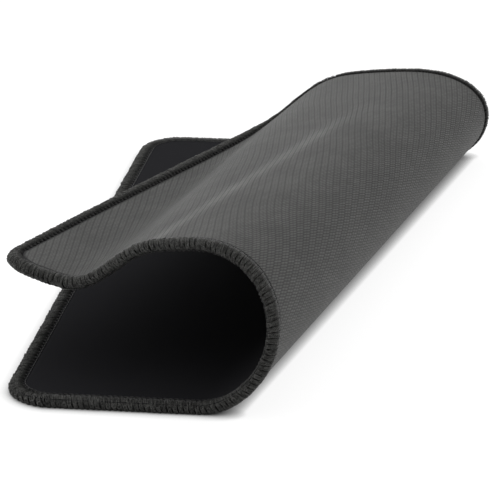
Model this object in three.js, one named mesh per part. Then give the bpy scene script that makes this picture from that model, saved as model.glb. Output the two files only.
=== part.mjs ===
import * as THREE from 'three';
import { mergeVertices } from 'three/addons/utils/BufferGeometryUtils.js';

// Mouse pad with a stitched edge, lying with its right side rolled up and folded back over the rest.
// The cloth is on the inside of the roll and the rubber on the outside. All sizes are in millimetres.
// The flat pad is drawn in u along the front edge, v along the left edge and w up through the
// thickness, from the middle of the laminate. It is then bent along straight fold lines, as a sheet
// that can't stretch bends, and turned so that the roll lies along +Y.

// Flat pad
const padWidth = 210;
const padDepth = 260;
const cornerRadius = 15;
const cornerSteps = 6;

// Laminate, from the cloth down
const clothThickness = 0.4;
const filmThickness = 0.1;
const rubberThickness = 2.5;

// Overlock border: two looper threads wrap the cut edge, and a needle thread holds them
const borderWidth = 4;
const threadThickness = 0.4;
const threadGap = 0.1;
const rimRounding = 1.2;
const rimBulgeShare = 0.3;
const needleThreadWidth = 0.5;

// Roll: how far the section has turned, in half turns, at even steps along bendReach on the front
// edge, and how far each fold line has moved to the right at the back edge, in shares of bendReach
const bendStart = 58;
const bendReach = 169;
const headingShares = [0, 0.19, 0.34, 0.51, 0.67, 0.86, 1.02, 1.07, 1.21, 1.17, 0.95, 0.96, 1.05, 1.13];
const leanShares = [0.31, 0.23, 0.14, 0.28, 0.15, 0.2];
const stripCount = 36;
const rollTurn = THREE.MathUtils.degToRad(9);

// Points closer than this to a fold line lie on it
const lineTolerance = 0.002;

// Heights of the layers' faces above the middle of the laminate
const clothTop = (clothThickness + filmThickness + rubberThickness) / 2;
const clothUnderside = clothTop - clothThickness;
const filmUnderside = clothUnderside - filmThickness;
const rubberUnderside = filmUnderside - rubberThickness;
const layerInset = threadThickness + threadGap;

function smoothShare(shares, station) {
  const curve = new THREE.SplineCurve(shares.map((share) => new THREE.Vector2(share, 0)));
  return curve.getPoint(station).x;
}

// The fold lines run straight across the flat pad from front to back
function makeFoldLines() {
  const lines = [];
  for (let i = 0; i <= stripCount; i += 1) {
    const station = i / stripCount;
    const frontPlace = bendStart + bendReach * station;
    const backPlace = frontPlace + bendReach * smoothShare(leanShares, station);
    const front = new THREE.Vector3(frontPlace, 0, 0);
    const back = new THREE.Vector3(backPlace, padDepth, 0);
    lines.push({ front, back, along: back.clone().sub(front).normalize() });
  }
  return lines;
}

// Heading of the strip to the left of each fold line: flat first, then the curve at mid strip
function stripHeading(strip) {
  if (strip === 0) {
    return 0;
  }
  const station = Math.min((strip - 0.5) / stripCount, 1);
  return Math.PI * smoothShare(headingShares, station);
}

// Each strip is the one before it, turned about the fold line between them
function makeStrips(lines) {
  const strips = [new THREE.Matrix4()];
  lines.forEach((line, i) => {
    const front = line.front.clone().applyMatrix4(strips[i]);
    const back = line.back.clone().applyMatrix4(strips[i]);
    const axis = back.sub(front).normalize();
    const turn = new THREE.Matrix4().makeRotationAxis(axis, stripHeading(i) - stripHeading(i + 1));
    const bend = new THREE.Matrix4().makeTranslation(front.x, front.y, front.z);
    bend.multiply(turn);
    bend.multiply(new THREE.Matrix4().makeTranslation(-front.x, -front.y, -front.z));
    strips.push(bend.multiply(strips[i]));
  });
  return strips;
}

const foldLines = makeFoldLines();
const strips = makeStrips(foldLines);
const stripNormals = strips.map((strip) => new THREE.Vector3(0, 0, 1).transformDirection(strip));

// Distance of a flat point from a fold line, positive to its right
function offLine(point, line) {
  return (point.x - line.front.x) * line.along.y - (point.y - line.front.y) * line.along.x;
}

// The part of a flat polygon on one side of a fold line
function keepSide(polygon, line, side) {
  const kept = [];
  polygon.forEach((point, i) => {
    const next = polygon[(i + 1) % polygon.length];
    const here = side * offLine(point, line);
    const there = side * offLine(next, line);
    if (here >= -lineTolerance) {
      kept.push(point);
    }
    if (Math.min(here, there) < -lineTolerance && Math.max(here, there) > lineTolerance) {
      kept.push(point.clone().lerp(next, here / (here - there)));
    }
  });
  return kept;
}

// A flat point's place on the bent pad. On a fold line the thickness direction is mitred, so the
// layers stay parallel and keep their thickness on both sides of it.
function bendPoint(point, strip) {
  const across = stripNormals[strip].clone();
  [strip - 1, strip].forEach((i) => {
    if (foldLines[i] && Math.abs(offLine(point, foldLines[i])) <= lineTolerance) {
      across.addVectors(stripNormals[i], stripNormals[i + 1]).normalize();
      across.divideScalar(across.dot(stripNormals[strip]));
    }
  });
  const place = new THREE.Vector3(point.x, point.y, 0).applyMatrix4(strips[strip]);
  return place.addScaledVector(across, point.z);
}

// Cuts a flat polygon along the fold lines, bends the pieces and adds them as triangles
function addBent(corners, polygon, flipped) {
  strips.forEach((matrix, strip) => {
    let piece = polygon;
    if (strip > 0) {
      piece = keepSide(piece, foldLines[strip - 1], 1);
    }
    if (strip < foldLines.length && piece.length > 2) {
      piece = keepSide(piece, foldLines[strip], -1);
    }
    const bent = piece.map((point) => bendPoint(point, strip));
    for (let i = 2; i < bent.length; i += 1) {
      const triangle = [bent[0], bent[i - 1], bent[i]];
      corners.push(...(flipped ? triangle.reverse() : triangle));
    }
  });
}

// Outline of the flat pad, drawn in from its outer edge, at one height through the thickness
function outline(inset, height) {
  const radius = cornerRadius - inset;
  const centres = [
    [padWidth - cornerRadius, cornerRadius, -0.5],
    [padWidth - cornerRadius, padDepth - cornerRadius, 0],
    [cornerRadius, padDepth - cornerRadius, 0.5],
    [cornerRadius, cornerRadius, 1],
  ];
  const points = [];
  centres.forEach(([u, v, startShare]) => {
    for (let i = 0; i <= cornerSteps; i += 1) {
      const angle = Math.PI * (startShare + 0.5 * i / cornerSteps);
      points.push(new THREE.Vector3(u + radius * Math.cos(angle), v + radius * Math.sin(angle), height));
    }
  });
  return points;
}

function addWalls(corners, lower, upper) {
  lower.forEach((point, i) => {
    const next = (i + 1) % lower.length;
    addBent(corners, [point, lower[next], upper[next], upper[i]], false);
  });
}

function makeMesh(name, corners, material) {
  const geometry = new THREE.BufferGeometry().setFromPoints(corners);
  const mesh = new THREE.Mesh(mergeVertices(geometry, lineTolerance / 2), material);
  mesh.name = name;
  return mesh;
}

// A layer of the laminate: its edge profile runs from its underside to its top as [inset, height]
function makeLayer(name, profile, material) {
  const loops = profile.map(([inset, height]) => outline(inset, height));
  const corners = [];
  addBent(corners, loops[0], true);
  for (let i = 1; i < loops.length; i += 1) {
    addWalls(corners, loops[i - 1], loops[i]);
  }
  addBent(corners, loops[loops.length - 1], false);
  return makeMesh(name, corners, material);
}

// A thread band that runs round the whole edge: its section goes up the outside and down the inside
function makeBand(name, section, material) {
  const loops = section.map(([inset, height]) => outline(inset, height));
  const corners = [];
  loops.forEach((loop, i) => addWalls(corners, loop, loops[(i + 1) % loops.length]));
  return makeMesh(name, corners, material);
}

function makeMaterial(color, roughness) {
  return new THREE.MeshStandardMaterial({ color, roughness, metalness: 0 });
}

// Woven polyester face that the mouse runs on
function makeCloth() {
  const profile = [[layerInset, clothUnderside], [layerInset, clothTop]];
  return makeLayer('cloth_surface', profile, makeMaterial(0x17171a, 0.9));
}

// Hot-melt film that bonds the cloth to the rubber
function makeFilm() {
  const profile = [[layerInset, filmUnderside], [layerInset, clothUnderside]];
  return makeLayer('adhesive_film', profile, makeMaterial(0xc9c6bb, 0.5));
}

// Foamed rubber base, pinched along its edge by the lower looper thread, which lies flush with it
function makeRubber() {
  const ledge = rubberUnderside + threadThickness + threadGap;
  const profile = [
    [borderWidth, rubberUnderside],
    [borderWidth, ledge],
    [layerInset, ledge],
    [layerInset, filmUnderside],
  ];
  return makeLayer('rubber_base', profile, makeMaterial(0x575753, 0.6));
}

// Looper thread of the cloth side: from the needle line out over the rim to the middle of the edge
function makeUpperLooper() {
  const seat = clothTop + threadGap;
  const top = seat + threadThickness;
  const section = [
    [0, threadGap / 2],
    [0, top - rimRounding],
    [rimRounding * rimBulgeShare, top - rimRounding * rimBulgeShare],
    [rimRounding, top],
    [borderWidth, top],
    [borderWidth, seat],
    [threadThickness, seat],
    [threadThickness, threadGap / 2],
  ];
  return makeBand('upper_looper_thread', section, makeMaterial(0x2d2d2b, 0.85));
}

// Looper thread of the rubber side: from the middle of the edge round to the rubber's rebate
function makeLowerLooper() {
  const seat = rubberUnderside + threadThickness;
  const section = [
    [rimRounding, rubberUnderside],
    [rimRounding * rimBulgeShare, rubberUnderside + rimRounding * rimBulgeShare],
    [0, rubberUnderside + rimRounding],
    [0, -threadGap / 2],
    [threadThickness, -threadGap / 2],
    [threadThickness, seat],
    [borderWidth - threadGap, seat],
    [borderWidth - threadGap, rubberUnderside],
  ];
  return makeBand('lower_looper_thread', section, makeMaterial(0x2f2f2d, 0.85));
}

// Needle thread, lying on the cloth along the inner side of the border
function makeNeedleThread() {
  const seat = clothTop + threadGap;
  const outer = borderWidth + threadGap;
  const inner = outer + needleThreadWidth;
  const section = [
    [outer, seat],
    [outer, seat + threadThickness],
    [inner, seat + threadThickness],
    [inner, seat],
  ];
  return makeBand('needle_thread', section, makeMaterial(0x3a3a3a, 0.8));
}

const pad = new THREE.Group();
pad.add(makeCloth());
pad.add(makeFilm());
pad.add(makeRubber());
pad.add(makeUpperLooper());
pad.add(makeLowerLooper());
pad.add(makeNeedleThread());

// The origin is under the middle of the whole folded pad, on the surface that it lies on
pad.rotation.z = rollTurn;
pad.updateMatrixWorld(true);
const bounds = new THREE.Box3().setFromObject(pad, true);
const centre = bounds.getCenter(new THREE.Vector3());
pad.position.set(-centre.x, -centre.y, -bounds.min.z);

export default pad;
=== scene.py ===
import math

import bpy
import numpy as np
from mathutils import Matrix, Vector


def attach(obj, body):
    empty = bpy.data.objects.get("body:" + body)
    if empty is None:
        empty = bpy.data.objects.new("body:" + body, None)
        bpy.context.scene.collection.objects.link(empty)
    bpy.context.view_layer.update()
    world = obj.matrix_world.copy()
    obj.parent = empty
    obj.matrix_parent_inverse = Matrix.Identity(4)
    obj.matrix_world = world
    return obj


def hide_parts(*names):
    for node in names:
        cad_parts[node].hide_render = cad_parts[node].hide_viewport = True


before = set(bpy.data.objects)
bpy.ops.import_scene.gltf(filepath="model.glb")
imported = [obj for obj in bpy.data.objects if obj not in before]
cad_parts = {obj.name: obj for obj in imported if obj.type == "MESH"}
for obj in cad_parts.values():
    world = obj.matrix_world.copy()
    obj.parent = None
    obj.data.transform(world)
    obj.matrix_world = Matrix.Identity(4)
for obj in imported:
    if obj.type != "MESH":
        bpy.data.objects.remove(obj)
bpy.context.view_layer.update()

# Rubber base: a sheet of foamed natural rubber, embossed on its underside with slanting rows of
# small ribs that grip the desk. It is cut with rounded corners and bound with thread, which pulls
# it in along the needle line. Here it lies rolled up, with the right side folded back.
pad_width, pad_depth, corner_radius = 210, 260, 15  # millimetres, as all sizes of the flat pad
rubber_top, rubber_underside = 1.0, -1.5  # heights from the middle of the laminate
layer_edge = 0.5  # from the outer edge of the thread to the cut edge of the layers
cloth_border, rubber_border = 4.6, 4.25  # width of the stitched border on each side
groove_height, strip_height = -1.0, -1.6  # of the groove at the needle line, and under the thread
bend_start, bend_reach = 58, 169  # of the fold lines, along the front side
# At even stations along the bend: how far the sheet has turned over, in half turns, and how far
# each fold line leans to the right, in shares of the bend's reach
heading_shares = [0, 0.19, 0.34, 0.51, 0.67, 0.86, 1.02, 1.07, 1.21, 1.17, 0.95, 0.96, 1.05, 1.13]
lean_shares = [0.31, 0.23, 0.14, 0.28, 0.15, 0.2]
strip_count = 720  # flat strips between the fold lines
roll_turn = math.radians(9)  # of the whole roll on the desk


def smooth_share(shares, station):
    """A smooth curve through shares at even stations from 0 to 1."""
    shares = np.array([shares[0], *shares, shares[-1]], float)
    place = np.clip(station, 0, 1) * (len(shares) - 3)
    index = np.minimum(place.astype(int), len(shares) - 4)
    t = place - index
    before, here, there, after = (shares[index + i] for i in range(4))
    start, end = (there - before) / 2, (after - here) / 2
    cubic = 2 * (here - there) + start + end
    square = 3 * (there - here) - 2 * start - end
    return ((cubic * t + square) * t + start) * t + here


# The flat pad is bent along straight fold lines, each from front_fold to back_fold
fold_station = np.arange(strip_count + 1) / strip_count
front_fold = bend_start + bend_reach * fold_station
back_fold = front_fold + bend_reach * smooth_share(lean_shares, fold_station)
mid_station = (np.arange(strip_count + 1) + 0.5) / strip_count
strip_heading = np.concatenate([[0], np.pi * smooth_share(heading_shares, mid_station)])
strip_turns, strip_moves = [np.eye(3)], [np.zeros(3)]
for i in range(strip_count + 1):
    fold = np.array([back_fold[i] - front_fold[i], pad_depth, 0])
    pin = strip_turns[i] @ [front_fold[i], 0, 0] + strip_moves[i]
    angle = strip_heading[i] - strip_heading[i + 1]
    turn = np.array(Matrix.Rotation(angle, 3, Vector(strip_turns[i] @ fold)))
    strip_turns.append(turn @ strip_turns[i])
    strip_moves.append(turn @ (strip_moves[i] - pin) + pin)
strip_turns, strip_moves = np.array(strip_turns), np.array(strip_moves)
fold_normals = strip_turns[:-1, :, 2] + strip_turns[1:, :, 2]
fold_normals /= np.linalg.norm(fold_normals, axis=1)[:, None]

# Where the flat pad lies in the shared frame: the leftmost point of the solid base is in its back
# left corner, which is drawn in steps of 15 degrees
rubber_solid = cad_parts["rubber_base"].data
solid_corner = min((vertex.co for vertex in rubber_solid.vertices), key=lambda place: place.x)
corner_reach = corner_radius - layer_edge
corner_angle = math.radians(165)
flat_corner = np.array([
    corner_radius + corner_reach * math.cos(corner_angle),
    pad_depth - corner_radius + corner_reach * math.sin(corner_angle),
    0,
])
frame_turn = np.array(Matrix.Rotation(roll_turn, 3, "Z"))
frame_move = np.array(solid_corner) * 1000 - frame_turn @ flat_corner
frame_move[2] = -rubber_underside


def to_shared_frame(points):
    """Millimetres in the flat pad's frame to metres in the shared frame."""
    return (points @ frame_turn.T + frame_move) / 1000


def bend(flat):
    """Flat places u, v and height w, in millimetres, to places on the rolled pad, in metres."""
    depth_share = flat[:, 1] / pad_depth

    def fold_at(index):
        return front_fold[index] + (back_fold[index] - front_fold[index]) * depth_share

    # The strip between two folds that each place lies on is found by halving
    strip, high = np.zeros(len(flat), int), np.full(len(flat), strip_count + 1)
    while (strip < high).any():
        middle = (strip + high + 1) // 2
        passed = fold_at(middle - 1) <= flat[:, 0]
        strip, high = np.where(passed, middle, strip), np.where(passed, high, middle - 1)
    left, right = np.maximum(strip - 1, 0), np.minimum(strip, strip_count)
    width = np.maximum(fold_at(right) - fold_at(left), 1e-9)
    share = np.clip((flat[:, 0] - fold_at(left)) / width, 0, 1)[:, None]
    normal = fold_normals[left] * (1 - share) + fold_normals[right] * share
    normal[strip == 0] = strip_turns[0][:, 2]
    normal[strip == strip_count + 1] = strip_turns[-1][:, 2]
    normal /= np.linalg.norm(normal, axis=1)[:, None]
    surface = flat * [1, 1, 0]
    place = np.einsum("nij,nj->ni", strip_turns[strip], surface) + strip_moves[strip]
    return to_shared_frame(place + normal * flat[:, 2:])


# The flat pad's edge, from the front side's left end on: front, right, back and left side
side_lengths = [pad_width - 2 * corner_radius, pad_depth - 2 * corner_radius] * 2
corner_arc = math.pi / 2 * corner_radius
side_starts = np.cumsum([0, *(length + corner_arc for length in side_lengths)])
perimeter = sum(side_lengths) + 4 * corner_arc
corner_centres = np.array([
    [pad_width - corner_radius, corner_radius],
    [pad_width - corner_radius, pad_depth - corner_radius],
    [corner_radius, pad_depth - corner_radius],
    [corner_radius, corner_radius],
])


def edge_frame(along):
    """Points on the flat pad's outer edge at distances along it, and the way in there."""
    along = np.asarray(along, float) % perimeter
    side = np.clip(np.searchsorted(side_starts, along, side="right") - 1, 0, 3)
    passed = along - side_starts[side]
    straight = np.array(side_lengths)[side]
    angle = side * math.pi / 2 + np.maximum(passed - straight, 0) / corner_radius
    inward = np.stack([-np.sin(angle), np.cos(angle)], -1)
    ahead = np.stack([np.cos(angle), np.sin(angle)], -1)
    centre = np.where((passed < straight)[:, None], corner_centres[side - 1], corner_centres[side])
    step = np.where(passed < straight, passed, 0)[:, None]
    return centre - corner_radius * inward + step * ahead, inward


def edge_places(along, inset, height):
    """Flat places at a distance along the edge, an inset from it, and a height."""
    edge, inward = edge_frame(along)
    inset = np.broadcast_to(inset, len(edge))[:, None]
    height = np.broadcast_to(height, len(edge))[:, None]
    return np.concatenate([edge + inward * inset, height], 1)


# Cells of a layer's mesh across the pad, down it and round a corner
width_cells, depth_cells, arc_cells = 140, 180, 12
loop_along = np.concatenate([
    np.concatenate([
        start + length * np.arange(cells) / cells,
        start + length + corner_arc * np.arange(arc_cells) / arc_cells,
    ])
    for start, length, cells in zip(side_starts, side_lengths, [width_cells, depth_cells] * 2)
])


def make_mesh(name, flat, faces, merge=False):
    """A smooth mesh object of four-sided faces between flat places."""
    mesh = bpy.data.meshes.new(name)
    mesh.vertices.add(len(flat))
    mesh.vertices.foreach_set("co", (flat / 1000).astype(np.float32).ravel())
    mesh.loops.add(faces.size)
    mesh.loops.foreach_set("vertex_index", faces.astype(np.int32).ravel())
    mesh.polygons.add(len(faces))
    mesh.polygons.foreach_set("loop_start", np.arange(0, faces.size, 4, dtype=np.int32))
    mesh.update(calc_edges=True)
    piece = bpy.data.objects.new(name, mesh)
    bpy.context.scene.collection.objects.link(piece)
    if merge:
        bpy.ops.object.select_all(action="DESELECT")
        bpy.context.view_layer.objects.active = piece
        piece.select_set(True)
        bpy.ops.object.mode_set(mode="EDIT")
        bpy.ops.mesh.select_all(action="SELECT")
        bpy.ops.mesh.remove_doubles(threshold=1e-6)
        bpy.ops.object.mode_set(mode="OBJECT")
    mesh.polygons.foreach_set("use_smooth", np.ones(len(mesh.polygons), bool))
    return piece


def bend_piece(piece):
    """Keeps the flat places as a UV map, in millimetres, and moves the vertices to the roll."""
    mesh = piece.data
    flat = np.zeros(len(mesh.vertices) * 3, np.float32)
    mesh.vertices.foreach_get("co", flat)
    flat = flat.reshape(-1, 3).astype(float) * 1000
    corner = np.zeros(len(mesh.loops), np.int32)
    mesh.loops.foreach_get("vertex_index", corner)
    layer = mesh.uv_layers.new(name="flat")
    layer.uv.foreach_set("vector", flat[corner, :2].astype(np.float32).ravel())
    places = bend(flat)
    places[:, 2] = np.maximum(places[:, 2], 0)  # what lies on the desk is pressed flat by it
    mesh.vertices.foreach_set("co", places.astype(np.float32).ravel())
    mesh.update()


def make_layer(name, profile):
    """A closed layer. Its profile runs from the underside out round the edge to the top."""
    flat = [edge_places(loop_along, inset, height) for inset, height in profile]
    faces = []
    count = len(loop_along)
    step = np.arange(count)
    after = (step + 1) % count
    for ring in range(1, len(profile)):
        inner, outer = (ring - 1) * count, ring * count
        faces.append(np.stack([inner + step, inner + after, outer + after, outer + step], 1))
    across = np.linspace(corner_radius, pad_width - corner_radius, width_cells + 1)
    deep = np.linspace(corner_radius, pad_depth - corner_radius, depth_cells + 1)
    u, v = (grid.ravel() for grid in np.meshgrid(across, deep))
    i, j = (grid.ravel() for grid in np.meshgrid(np.arange(width_cells), np.arange(depth_cells)))
    first = j * (width_cells + 1) + i
    cell = np.stack([first, first + 1, first + width_cells + 2, first + width_cells + 1], 1)
    for end, order in ((0, [0, 3, 2, 1]), (-1, [0, 1, 2, 3])):
        base = sum(len(part) for part in flat)
        flat.append(np.stack([u, v, np.full(len(u), profile[end][1])], 1))
        faces.append(base + cell[:, order])
    piece = make_mesh(name, np.concatenate(flat), np.concatenate(faces), merge=True)
    bend_piece(piece)
    return piece


# The stitching presses the top layers down under the thread, and most along the needle line
needle_line, needle_dip, needle_dip_reach, border_dip = 4.85, 0.16, 0.4, 0.1
top_insets = [0.5, 0.9, 2, 3.2, 4, 4.55, 4.7, 4.85, 5.1, 5.5, 6.2, 8, 11, 15]


def pressed(inset):
    """How far the stitching presses the top layers down at a distance from the edge."""
    dip = needle_dip * math.exp(-((inset - needle_line) / needle_dip_reach) ** 2)
    return -dip - border_dip * (inset < cloth_border)


def top_profile(height):
    """The profile of a layer's top, from its edge in."""
    return [(inset, height + pressed(inset)) for inset in top_insets]


def add_node(tree, kind, inputs=(), **settings):
    """A shader node with its settings, and its inputs given as values or linked sockets."""
    made = tree.nodes.new(kind)
    for name, value in settings.items():
        setattr(made, name, value)
    for key, value in dict(inputs).items():
        if isinstance(value, bpy.types.NodeSocket):
            tree.links.new(value, made.inputs[key])
        else:
            made.inputs[key].default_value = value
    return made


def add_math(tree, operation, *values):
    """The output of a maths node; its values are numbers or linked sockets."""
    return add_node(tree, "ShaderNodeMath", dict(enumerate(values)), operation=operation).outputs[0]


def add_ramp(tree, value, low, high, start=0, end=1):
    """A smooth step from start to end, as the value goes from low to high."""
    return add_node(tree, "ShaderNodeMapRange", {
        "Value": value, "From Min": low, "From Max": high, "To Min": start, "To Max": end,
    }, interpolation_type="SMOOTHSTEP").outputs[0]


def add_blend(tree, share, dark, light):
    """The output of a colour mix, from a dark to a light colour."""
    return add_node(tree, "ShaderNodeMix", {
        0: share, 6: (*dark, 1), 7: (*light, 1),
    }, data_type="RGBA").outputs[2]


def new_group(name, takes, gives):
    """A shader node group with its inputs and outputs, and the nodes that stand for them."""
    group = bpy.data.node_groups.new(name, "ShaderNodeTree")
    for label, kind in takes:
        group.interface.new_socket(label, in_out="INPUT", socket_type=kind)
    for label, kind in gives:
        group.interface.new_socket(label, in_out="OUTPUT", socket_type=kind)
    return group, group.nodes.new("NodeGroupInput"), group.nodes.new("NodeGroupOutput")


def new_paint(name, values):
    """A material, its node tree, and its shader with the values that are the same all over."""
    paint = bpy.data.materials.new(name)
    paint.use_nodes = True
    shader = paint.node_tree.nodes["Principled BSDF"]
    for label, value in values.items():
        shader.inputs[label].default_value = value
    return paint, paint.node_tree, shader


# Ribs: short raised ribs in columns that lean across the flat pad. The rates are how often the
# columns, and the ribs of a column, repeat per millimetre across the pad and down it.
column_rates, rib_rates = (-0.34, 0.17), (1.085, 0.158)
rib_shift = 0.66  # of a rib, from one column to the next
closing_start, closing_ease, closing = 131, 16, 0.38  # past the bend the columns close up
lean_start, lean_ease, lean = 130, 20, 0.02  # towards the back they lean a little more
crease_start, crease_lean = 151, 0.05  # the line along which the sheet is bent back hardest
ribs, ribs_in, ribs_out = new_group(
    "ribs", [("Flat Place", "NodeSocketVector")], [("Height", "NodeSocketFloat")]
)
parts = add_node(ribs, "ShaderNodeSeparateXYZ", {0: ribs_in.outputs["Flat Place"]})
rib_u, rib_v = parts.outputs[0], parts.outputs[1]
past_bend = add_math(ribs, "SUBTRACT", rib_u, closing_start)
past_bend = add_math(ribs, "SMOOTH_MAX", past_bend, 0, closing_ease)
across = add_math(ribs, "MULTIPLY_ADD", past_bend, closing, rib_u)
column_count, rib_count = (
    add_math(ribs, "ADD", add_math(ribs, "MULTIPLY", across, across_rate),
             add_math(ribs, "MULTIPLY", rib_v, down_rate))
    for across_rate, down_rate in (column_rates, rib_rates)
)
leaning = add_math(ribs, "SUBTRACT", rib_v, lean_start)
leaning = add_math(ribs, "SMOOTH_MAX", leaning, 0, lean_ease)
column_count = add_math(ribs, "MULTIPLY_ADD", leaning, lean, column_count)
# The columns waver a little, and are drawn together along the crease
off_crease = add_math(ribs, "SUBTRACT", rib_u, crease_start)
off_crease = add_math(ribs, "MULTIPLY_ADD", rib_v, -crease_lean, off_crease)
drawn = add_ramp(ribs, off_crease, -5, 5, 0.65, -0.65)
drawn = add_math(ribs, "MULTIPLY", drawn, add_ramp(ribs, rib_v, 150, 215, 1, 0))
waver = add_node(ribs, "ShaderNodeTexNoise", {
    "Vector": ribs_in.outputs["Flat Place"], "Scale": 0.03, "Detail": 0,
}, noise_dimensions="2D")
drawn = add_math(ribs, "MULTIPLY_ADD", waver.outputs[0], 0.35, drawn)
column_count = add_math(ribs, "ADD", column_count, drawn)
column_number = add_math(ribs, "FLOOR", column_count)
rib_count = add_math(ribs, "MULTIPLY_ADD", column_number, rib_shift, rib_count)
rib_number = add_math(ribs, "FLOOR", rib_count)
from_column, from_rib = (
    add_math(ribs, "ABSOLUTE", add_math(ribs, "SUBTRACT", add_math(ribs, "FRACT", count), 0.5))
    for count in (column_count, rib_count)
)
# Between two columns is a groove, which is deeper past the bend and at the crease, and down the
# middle of each column runs a fine seam
groove = add_ramp(ribs, from_column, 0.3, 0.5)
groove_depth = add_ramp(ribs, rib_u, 122, 145, 0.5, 0.75)
near_crease = add_ramp(ribs, add_math(ribs, "ABSOLUTE", off_crease), 2, 6, 0.25, 0)
groove = add_math(ribs, "MULTIPLY", groove, add_math(ribs, "ADD", groove_depth, near_crease))
seam = add_ramp(ribs, from_column, 0.14, 0, 0, 0.35)
column = add_math(ribs, "SUBTRACT", 1, add_math(ribs, "ADD", groove, seam))
rib = add_ramp(ribs, from_rib, 0.1, 0.45, 1, 0.35)
# No two ribs come out of the mould alike
rib_place = add_node(ribs, "ShaderNodeCombineXYZ", {0: column_number, 1: rib_number})
uneven = add_node(ribs, "ShaderNodeTexWhiteNoise", {
    "Vector": rib_place.outputs[0],
}, noise_dimensions="2D")
rib = add_math(ribs, "MULTIPLY", rib, add_ramp(ribs, uneven.outputs["Value"], 0, 1, 0.75, 1))
ribs.links.new(add_math(ribs, "MULTIPLY", rib, column), ribs_out.inputs["Height"])

# Edge inset: how far a place on the flat pad is from its outer edge, in millimetres. It is the
# corner's radius less the reach beyond the rectangle between the corners' centres.
edge_inset, inset_in, inset_out = new_group(
    "edge_inset", [("Flat Place", "NodeSocketVector")], [("Inset", "NodeSocketFloat")]
)
half_pad = (pad_width / 2, pad_depth / 2, 0)
half_inner = (pad_width / 2 - corner_radius, pad_depth / 2 - corner_radius, 0)
beyond = inset_in.outputs["Flat Place"]
for operation, settings in (
    ("SUBTRACT", {1: half_pad}),
    ("ABSOLUTE", {}),
    ("SUBTRACT", {1: half_inner}),
    ("MAXIMUM", {}),
):
    beyond = add_node(edge_inset, "ShaderNodeVectorMath", {
        0: beyond, **settings,
    }, operation=operation).outputs[0]
beyond = add_node(edge_inset, "ShaderNodeVectorMath", {0: beyond}, operation="LENGTH")
inset = add_math(edge_inset, "SUBTRACT", corner_radius, beyond.outputs["Value"])
edge_inset.links.new(inset, inset_out.inputs["Inset"])

rubber_paint, tree, shader = new_paint("embossed_rubber", {"Specular IOR Level": 0.23})
flat_map = add_node(tree, "ShaderNodeUVMap", uv_map="flat").outputs[0]
object_place = add_node(tree, "ShaderNodeTexCoord").outputs["Object"]
emboss = add_node(tree, "ShaderNodeGroup", {"Flat Place": flat_map}, node_tree=ribs).outputs[0]
# The colour follows the emboss: lighter on the ribs, with painted shade down in the grooves and
# seams
ribs_and_groove_shade = add_blend(tree, emboss, (0.01, 0.01, 0.0095), (0.092, 0.092, 0.0885))
cloud = add_node(tree, "ShaderNodeTexNoise", {
    "Vector": object_place, "Scale": 45, "Detail": 5, "Roughness": 0.65,
})
clouded = add_ramp(tree, cloud.outputs[0], 0.3, 0.7, 0.82, 1.14)
# Bare, black rubber at the cut edge and under the thread, and painted shade just beside the thread
from_edge = add_node(tree, "ShaderNodeGroup", {"Flat Place": flat_map}, node_tree=edge_inset)
bare_edge_and_stitch_shade = add_ramp(tree, from_edge.outputs["Inset"], 4.9, 5.6, 0.1, 1)
clouded = add_math(tree, "MULTIPLY", clouded, bare_edge_and_stitch_shade)
# Crease: where the sheet is bent back hardest, the rubber is stretched and smoother, and along it a
# highlight is painted on. The line grows wider towards the back, and fades out before it.
crease_line_start, crease_line_width, crease_line_widening = 150.8, 1.6, 0.006
rib_painted_highlight, groove_painted_shade = 0.75, -0.1
rubber_roughness, crease_roughness = 0.6, -0.12
parts = add_node(tree, "ShaderNodeSeparateXYZ", {0: flat_map})
crease_u, crease_v = parts.outputs[0], parts.outputs[1]
crease_line_middle = add_math(tree, "MULTIPLY_ADD", crease_v, crease_lean, crease_line_start)
crease_line_reach = add_math(tree, "MULTIPLY_ADD", crease_v, crease_line_widening, crease_line_width)
off_middle = add_math(tree, "SUBTRACT", crease_u, crease_line_middle)
off_middle = add_math(tree, "DIVIDE", off_middle, crease_line_reach)
off_middle = add_math(tree, "MULTIPLY", off_middle, off_middle)
crease = add_math(tree, "EXPONENT", add_math(tree, "MULTIPLY", off_middle, -0.5))
crease = add_math(tree, "MULTIPLY", crease, add_ramp(tree, crease_v, 140, 205, 1, 0))
# The painted highlight lightens the ribs along the crease, and darkens its grooves a little
crease_painted_highlight = add_math(tree, "MULTIPLY_ADD", emboss, rib_painted_highlight, groove_painted_shade)
level = add_math(tree, "MULTIPLY_ADD", crease, crease_painted_highlight, clouded)
levelled = add_node(tree, "ShaderNodeVectorMath", {0: ribs_and_groove_shade, "Scale": level}, operation="SCALE")
tree.links.new(levelled.outputs[0], shader.inputs["Base Color"])
roughness = add_math(tree, "MULTIPLY_ADD", crease, crease_roughness, rubber_roughness)
tree.links.new(roughness, shader.inputs["Roughness"])
emboss_bump = add_node(tree, "ShaderNodeBump", {
    "Height": emboss, "Strength": 1, "Distance": 0.0002,
})
grain = add_node(tree, "ShaderNodeTexNoise", {
    "Vector": object_place, "Scale": 2500, "Detail": 2,
})
grain_bump = add_node(tree, "ShaderNodeBump", {
    "Height": grain.outputs[0], "Strength": 0.4, "Distance": 0.00004,
    "Normal": emboss_bump.outputs[0],
})
tree.links.new(grain_bump.outputs[0], shader.inputs["Normal"])

# From the face out: a groove where the stitches pull it in, the strip under the thread, the edge
rubber = make_layer("rubber_base_sheet", [
    (15, rubber_underside),
    (10, rubber_underside),
    (6.2, rubber_underside),
    (5.2, rubber_underside + 0.01),
    (4.75, rubber_underside + 0.05),
    (4.45, rubber_underside + 0.2),
    (rubber_border, groove_height),
    (4, groove_height),
    (3.6, rubber_underside),
    (3, strip_height),
    (1.5, strip_height),
    (0.8, strip_height + 0.2),
    (layer_edge, strip_height + 0.6),
    *top_profile(rubber_top),
])
rubber.data.materials.append(rubber_paint)
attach(rubber, "root")
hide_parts("rubber_base")

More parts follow.
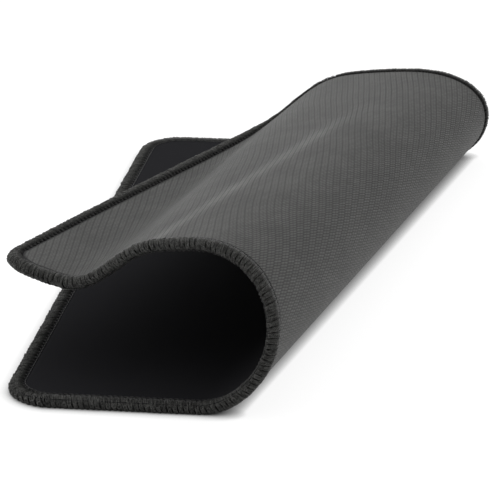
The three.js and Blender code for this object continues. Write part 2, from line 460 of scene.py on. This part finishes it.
# Adhesive film: hot-melt film, 0.1 mm thick, that bonds the cloth to the rubber over the whole
# face. It ends a little short of their cut edge, under the thread, where it doesn't show.
cloth_underside = 1.1
film_edge = layer_edge + 0.4
film_paint, tree, shader = new_paint("hot_melt_film", {"Roughness": 0.45})
object_place = add_node(tree, "ShaderNodeTexCoord").outputs["Object"]
cloud = add_node(tree, "ShaderNodeTexNoise", {
    "Vector": object_place, "Scale": 900, "Detail": 3,
})
film_shade = add_blend(tree, cloud.outputs[0], (0.42, 0.41, 0.37), (0.58, 0.56, 0.50))
tree.links.new(film_shade, shader.inputs["Base Color"])

film = make_layer("adhesive_film_sheet", [
    (max(inset, film_edge), height)
    for inset, height in (*reversed(top_profile(rubber_top)), *top_profile(cloth_underside))
])
film.data.materials.append(film_paint)
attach(film, "root")
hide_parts("adhesive_film")

# Cloth: a fine, smooth weave of black polyester yarn, which the mouse runs on. It is laminated to
# the rubber by the film, cut with it, and held down along its edge by the needle thread.
cloth_top = 1.5
weave, weave_in, weave_out = new_group(
    "weave",
    [("Flat Place", "NodeSocketVector"), ("Yarns per mm", "NodeSocketFloat")],
    [("Height", "NodeSocketFloat")],
)
scaled = add_node(weave, "ShaderNodeVectorMath", {
    0: weave_in.outputs["Flat Place"], "Scale": weave_in.outputs["Yarns per mm"],
}, operation="SCALE")
parts = add_node(weave, "ShaderNodeSeparateXYZ", {0: scaled.outputs[0]})
waves = [
    add_math(weave, "SINE", add_math(weave, "MULTIPLY", parts.outputs[axis], math.pi))
    for axis in range(2)
]
raised = add_math(weave, "MULTIPLY_ADD", add_math(weave, "MULTIPLY", *waves), 0.5, 0.5)
weave.links.new(raised, weave_out.inputs["Height"])

cloth_paint, tree, shader = new_paint("woven_polyester", {
    "Roughness": 0.9, "Specular IOR Level": 0.01,
})
flat_map = add_node(tree, "ShaderNodeUVMap", uv_map="flat").outputs[0]
woven = add_node(tree, "ShaderNodeGroup", {
    "Flat Place": flat_map, "Yarns per mm": 3,
}, node_tree=weave).outputs[0]
woven_shade = add_blend(tree, woven, (0.01, 0.01, 0.011), (0.026, 0.026, 0.029))
tree.links.new(woven_shade, shader.inputs["Base Color"])
cloth_bump = add_node(tree, "ShaderNodeBump", {
    "Height": woven, "Strength": 0.8, "Distance": 0.00008,
})
tree.links.new(cloth_bump.outputs[0], shader.inputs["Normal"])

cloth = make_layer("cloth_sheet", [
    *reversed(top_profile(cloth_underside)),
    *top_profile(cloth_top),
])
cloth.data.materials.append(cloth_paint)
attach(cloth, "root")
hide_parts("cloth_surface")

# Upper looper thread: a bulky polyester yarn that runs to and fro across the cloth side of the
# edge, from the needle line out over the rim, and loops round the needle thread at each stitch.
side_stitches = [120, 105, 160, 105]  # front, right, back and left: closest on the back
stitch_count = sum(side_stitches)
stitch_jitter = np.random.default_rng(11)
strand_radius, strand_sides = 0.175, 6
strand_swell, loop_swell = 0.2, 0.15  # how much thicker a strand is on the rim and in the loop
rim_start, rim_reach = 0.45, 0.3  # shares of the way from the needle line to the rim
lock_start, lock_reach, lock_height = 0.8, 0.12, 0.15
# No two stitches are alike: how far each reaches over the rim, how high it stands there, how far
# it wanders along the edge, in stitches, and how far a strand strays from its place
reach_spread, loft_spread, wander_spread, stray_spread = 0.04, 0.06, 0.035, 0.06


def stitch_place(count):
    """The distance along the edge after a count of stitches, from the front side's left end."""
    lap = perimeter * (count // stitch_count)
    return lap + np.interp(count % stitch_count, np.cumsum([0, *side_stitches]), side_starts)


def sweep(name, strands, sides):
    """Closed strands of yarn, each a round tube along a closed path of flat places. A UV map holds
    the distance along the strand, in millimetres, and the share of the way round it."""
    flat, faces, yarn_map = [], [], []
    angle = 2 * math.pi * (np.arange(sides) + 0.5) / sides
    for centres, outward, radius in strands:
        ahead = np.roll(centres, -1, 0) - np.roll(centres, 1, 0)
        ahead /= np.linalg.norm(ahead, axis=1)[:, None]
        across = np.cross(outward, ahead)
        across /= np.linalg.norm(across, axis=1)[:, None]
        raised = np.cross(ahead, across)
        ring = (
            centres[:, None]
            + across[:, None] * (radius[:, None] * np.cos(angle))[..., None]
            + raised[:, None] * (radius[:, None] * np.sin(angle))[..., None]
        )
        count = len(centres)
        i, j = (grid.ravel() for grid in np.meshgrid(
            np.arange(count), np.arange(sides), indexing="ij"
        ))
        after, round_it = (i + 1) % count, (j + 1) % sides
        first = sum(len(part) for part in flat)
        faces.append(first + np.stack(
            [i * sides + j, i * sides + round_it, after * sides + round_it, after * sides + j], 1
        ))
        flat.append(ring.reshape(-1, 3))
        steps = np.linalg.norm(np.roll(centres, -1, 0) - centres, axis=1)
        length = np.concatenate([[0], np.cumsum(steps)])
        yarn_map.append(np.stack([
            np.stack([length[i], j / sides], 1),
            np.stack([length[i], (j + 1) / sides], 1),
            np.stack([length[i + 1], (j + 1) / sides], 1),
            np.stack([length[i + 1], j / sides], 1),
        ], 1).reshape(-1, 2))
    piece = make_mesh(name, np.concatenate(flat), np.concatenate(faces))
    bend_piece(piece)
    layer = piece.data.uv_layers.new(name="yarn")
    layer.uv.foreach_set("vector", np.concatenate(yarn_map).astype(np.float32).ravel())
    return piece


def around_edge(section, share):
    """Inset and height at a share of the way along a section of the edge, and the way on there."""
    section = np.array(section, float)
    steps = np.linalg.norm(np.diff(section, axis=0), axis=1)
    length = np.concatenate([[0], np.cumsum(steps)])
    near, at, far = (
        np.stack([np.interp(share * length[-1] + ahead, length, axis) for axis in section.T], -1)
        for ahead in (-0.05, 0, 0.05)
    )
    way = far - near
    return at, way / np.linalg.norm(way, axis=1)[:, None]


# The two strands of a looper yarn through one stitch: how far each is from the needle line to the
# rim, and how far along the stitch. On the rim one makes a wide loop and the other lies inside it.
looper_strands = [
    (0.1, [0.05, 0.08, 0.2, 0.5, 0.76, 0.93, 1, 0.93, 0.76, 0.5, 0.2, 0.08],
     [0, 0.09, 0.125, 0.125, 0.15, 0.26, 0.5, 0.74, 0.85, 0.875, 0.875, 0.91]),
    (-0.02, [0, 0.03, 0.13, 0.35, 0.62, 0.8, 0.87, 0.8, 0.62, 0.35, 0.13, 0.03],
     [0, 0.22, 0.36, 0.375, 0.375, 0.4, 0.5, 0.6, 0.625, 0.625, 0.64, 0.78]),
]


def looper_yarn(section, upward, first_stitch, slant, gather):
    """The strands of a looper yarn, which goes out round the rim and back once a stitch. Between
    the needle line and the rim, the tension gathers the strands of a stitch together."""
    strands = []
    stitch = np.arange(stitch_count)[:, None]
    reach = stitch_jitter.normal(0, reach_spread, (stitch_count, 1))
    loft = stitch_jitter.normal(0, loft_spread, (stitch_count, 1))
    for bulge, shares, phases in looper_strands:
        shares, phases = np.array(shares), np.array(phases)
        phases = 0.5 + (phases - 0.5) * (1 - gather * np.clip(shares * 3, 0, 1))
        wander = stitch_jitter.normal(0, wander_spread, (stitch_count, len(phases)))
        stray = stitch_jitter.normal(0, stray_spread, (stitch_count, 1))
        along = stitch_place(stitch + first_stitch + phases + slant * (shares - 0.5) + wander)
        share = np.clip(shares * (1 + reach * shares), 0, 1)
        on_rim = np.clip((share - rim_start) / rim_reach, 0, 1)
        # Where the upper and lower loops lock together they stand out as a ridge along the rim
        locked = np.clip((share - lock_start) / lock_reach, 0, 1)
        lifted = on_rim * (bulge + loft) + stray + lock_height * locked
        radius = strand_radius * (1 + strand_swell * on_rim + loop_swell * locked)
        at, way = around_edge(section, share.ravel())
        out = np.stack([-way[:, 1], way[:, 0]], 1) * (-1 if upward else 1)
        at = at + out * lifted.reshape(-1, 1)
        edge, inward = edge_frame(along.ravel())
        centres = np.concatenate([edge + inward * at[:, :1], at[:, 1:]], 1)
        outward = np.concatenate([inward * out[:, :1], out[:, 1:]], 1)
        strands.append((centres, outward, radius.ravel()))
    return strands


def yarn_paint(name, dark, light):
    """Spun polyester yarn: twisted plies and fine fibres, with a painted highlight where they stand
    up.
    """
    ply_count, ply_pitch = 3, 0.7  # plies round the yarn, and millimetres from one to the next
    tension_rate = 0.14  # how often the tension changes per millimetre of yarn
    paint, tree, shader = new_paint(name, {"Roughness": 0.45, "Specular IOR Level": 0.18})
    yarn_map = add_node(tree, "ShaderNodeUVMap", uv_map="yarn").outputs[0]
    twist = add_node(tree, "ShaderNodeVectorMath", {
        0: yarn_map, 1: (2 * math.pi / ply_pitch, 2 * math.pi * ply_count, 0),
    }, operation="DOT_PRODUCT")
    plies = add_ramp(tree, add_math(tree, "COSINE", twist.outputs["Value"]), -1, 1)
    lint = add_node(tree, "ShaderNodeTexNoise", {
        "Vector": add_node(tree, "ShaderNodeTexCoord").outputs["Object"],
        "Scale": 1100, "Detail": 4, "Roughness": 0.7,
    })
    fuzz = add_ramp(tree, lint.outputs[0], 0.35, 0.65, 0, 0.5)
    # Plies and fibres that stand up are painted lighter as a painted highlight, and are raised by
    # the bump too
    fibres = add_math(tree, "MULTIPLY_ADD", plies, 0.5, fuzz)
    # From one stitch to the next the yarn is pulled more or less tight, and looks darker or lighter
    stretch = add_node(tree, "ShaderNodeVectorMath", {
        0: yarn_map, 1: (tension_rate, 0, 0),
    }, operation="MULTIPLY")
    tension = add_node(tree, "ShaderNodeTexNoise", {"Vector": stretch.outputs[0], "Scale": 1})
    pull = add_ramp(tree, tension.outputs[0], 0.3, 0.7, 0.25, 1.6)
    fibres = add_math(tree, "MULTIPLY", fibres, pull)
    # Towards the needle line, where it is pulled flat, the yarn is painted darker as shade
    flat_map = add_node(tree, "ShaderNodeUVMap", uv_map="flat").outputs[0]
    from_edge = add_node(tree, "ShaderNodeGroup", {"Flat Place": flat_map}, node_tree=edge_inset)
    needle_line_shade = add_ramp(tree, from_edge.outputs["Inset"], 1.8, 3.8, 1, 0.15)
    fibres = add_math(tree, "MULTIPLY", fibres, needle_line_shade)
    tree.links.new(add_blend(tree, fibres, dark, light), shader.inputs["Base Color"])
    bump = add_node(tree, "ShaderNodeBump", {
        "Height": fibres, "Strength": 0.8, "Distance": 0.00006,
    })
    tree.links.new(bump.outputs[0], shader.inputs["Normal"])
    return paint


# Inset and height along its section: low at the needle line, full over the edge, round the rim
upper_section = [
    (4.35, 1.4), (3.9, 1.52), (3.2, 1.68), (2.2, 1.78), (1.2, 1.7), (0.6, 1.38), (0.28, 0.9),
    (0.14, 0.4), (0.1, -0.05), (0.12, -0.4),
]
dark_yarn = yarn_paint("dark_yarn", (0.004, 0.004, 0.0037), (0.15, 0.15, 0.143))
upper_strands = looper_yarn(upper_section, upward=True, first_stitch=0, slant=0.5, gather=0)
upper_looper = sweep("upper_looper_yarn", upper_strands, strand_sides)
upper_looper.data.materials.append(dark_yarn)
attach(upper_looper, "root")
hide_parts("upper_looper_thread")

# Lower looper thread: the same yarn on the rubber side. It crosses the edge of the underside, a
# little proud of the rubber, and comes up round the rim, where it is locked into the upper loops.
lower_section = [
    (3.9, -1.3), (3.6, -1.7), (3.1, -1.9), (2.2, -1.98), (1.2, -1.92), (0.5, -1.55), (0.16, -1.0),
    (0.1, -0.4), (0.1, 0.2), (0.14, 0.6),
]
lower_strands = looper_yarn(lower_section, upward=False, first_stitch=0.5, slant=-0.5, gather=0.12)
lower_looper = sweep("lower_looper_yarn", lower_strands, strand_sides)
lower_looper.data.materials.append(dark_yarn)
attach(lower_looper, "root")
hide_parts("lower_looper_thread")

# Needle thread: a thin smooth polyester thread, sewn in a line along the inner side of the border.
# It shows as one short stitch after another on the cloth, and as small loops on the rubber side.
needle_radius, needle_sides = 0.16, 5
needle_stitch = np.array([  # share of the stitch, inset and height
    (0.1, needle_line, 1.35),
    (0.2, needle_line, 1.5),
    (0.38, needle_line, 1.56),
    (0.62, needle_line, 1.56),
    (0.8, needle_line, 1.5),
    (0.9, needle_line, 1.35),
    (0.93, 4.5, 0),
    (0.96, 4.05, -1.2),
    (1, 3.5, -1.45),
    (1.04, 4.05, -1.2),
    (1.07, 4.5, 0),
])
stitch = np.arange(stitch_count)[:, None]
along = stitch_place(stitch + needle_stitch[:, 0]).ravel()
inset, height = np.tile(needle_stitch[:, 1:].T, stitch_count)
inward = edge_frame(along)[1]
outward = np.concatenate([-inward, np.full((len(along), 1), 0.3)], 1)  # never along the thread
needle = sweep("needle_yarn", [
    (edge_places(along, inset, height), outward, np.full(len(along), needle_radius)),
], needle_sides)
needle.data.materials.append(yarn_paint("needle_yarn", (0.025, 0.025, 0.025), (0.3, 0.3, 0.3)))
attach(needle, "root")
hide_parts("needle_thread")

# Floor: a plain white sweep. Its grey sets how much light it throws back at the pad, and the
# camera, gloss and glass see it lifted to white, but for the soft shadow close to the pad.
floor_grey, seen_grey = (0.55, 0.55, 0.55), (0.2, 0.2, 0.2)
seen_lift, mirrored_lift = 0.9, 0.7
shadow_reach, shadow_depth = 0.0045, 1.4
bpy.ops.object.select_all(action="DESELECT")
bpy.ops.mesh.primitive_plane_add(size=12, location=(0, 0, 0))
floor = bpy.context.object
floor.name = "floor"
floor_paint, tree, shader = new_paint("white_sweep", {
    "Roughness": 0.9, "Specular IOR Level": 0, "Emission Color": (1, 1, 1, 1),
})
rays = add_node(tree, "ShaderNodeLightPath").outputs
floor_shade = add_blend(tree, rays["Is Camera Ray"], floor_grey, seen_grey)
tree.links.new(floor_shade, shader.inputs["Base Color"])
mirrored = add_math(tree, "MAXIMUM", rays["Is Glossy Ray"], rays["Is Transmission Ray"])
mirrored = add_math(tree, "MULTIPLY", mirrored, mirrored_lift)
lift = add_math(tree, "MULTIPLY_ADD", rays["Is Camera Ray"], seen_lift, mirrored)
open_floor = add_node(tree, "ShaderNodeAmbientOcclusion", {"Distance": shadow_reach}, samples=16)
shadow = add_math(tree, "POWER", open_floor.outputs["AO"], shadow_depth)
tree.links.new(add_math(tree, "MULTIPLY", lift, shadow), shader.inputs["Emission Strength"])
floor.data.materials.append(floor_paint)

# Light: a white room, which is lighter behind the pad and above it, and three wide soft boxes.
# To the camera, and in gloss and glass, the room is plain white.
light_side, room_middle, room_least = (-0.55, 0.65, 0.45), 0.5, 0.05
world = bpy.data.worlds.new("white_room")
bpy.context.scene.world = world
world.use_nodes = True
tree = world.node_tree
background = tree.nodes["Background"]
background.inputs["Color"].default_value = (1, 1, 1, 1)
rays = add_node(tree, "ShaderNodeLightPath").outputs
seen = add_math(tree, "MAXIMUM", rays["Is Camera Ray"], rays["Is Glossy Ray"])
seen = add_math(tree, "MAXIMUM", seen, rays["Is Transmission Ray"])
facing = add_node(tree, "ShaderNodeVectorMath", {
    0: add_node(tree, "ShaderNodeTexCoord").outputs["Generated"], 1: light_side,
}, operation="DOT_PRODUCT")
room_level = add_math(tree, "ADD", room_middle, facing.outputs["Value"])
room_level = add_math(tree, "MAXIMUM", room_level, room_least)
strength = add_node(tree, "ShaderNodeMix", {0: seen, 2: room_level, 3: 1}).outputs[0]
tree.links.new(strength, background.inputs["Strength"])

box_size, pad_middle = 1.2, Vector((0, 0, 0.02))
for name, power, place in (
    ("left_box", 5.8, (-0.86, 0.86, 0.7)),
    ("back_box", 2, (0, 0.9, 1.3)),
    ("right_box", 1.5, (1.1, 0.5, 0.35)),
):
    box = bpy.data.objects.new(name, bpy.data.lights.new(name, "AREA"))
    bpy.context.scene.collection.objects.link(box)
    box.data.size, box.data.energy = box_size, power
    box.location = place
    box.rotation_euler = (pad_middle - box.location).to_track_quat("-Z", "Y").to_euler()
    box.visible_glossy = False

# Camera: a long lens at the front right of the pad, looking down on it.
camera = bpy.data.objects.new("camera", bpy.data.cameras.new("camera"))
bpy.context.scene.collection.objects.link(camera)
camera_place = to_shared_frame(np.array([214.9, -931.2, 390.0]))  # in the flat pad's frame
camera_yaw = math.radians(-8.437) - roll_turn
camera_pitch, camera_roll = math.radians(19.751), math.radians(-0.552)
ahead = Vector((
    math.sin(camera_yaw) * math.cos(camera_pitch),
    math.cos(camera_yaw) * math.cos(camera_pitch),
    -math.sin(camera_pitch),
))
sideways = Vector((math.cos(camera_yaw), -math.sin(camera_yaw), 0))
above = sideways.cross(ahead)
right = sideways * math.cos(camera_roll) + above * math.sin(camera_roll)
up = above * math.cos(camera_roll) - sideways * math.sin(camera_roll)
camera_axes = Matrix([right, up, -ahead]).transposed().to_4x4()
camera.matrix_world = Matrix.Translation(Vector(camera_place)) @ camera_axes
camera.data.sensor_width, camera.data.lens = 36, 244.93
camera.data.clip_start, camera.data.clip_end = 0.05, 50
bpy.context.scene.camera = camera
bpy.context.scene.view_settings.view_transform = "Standard"
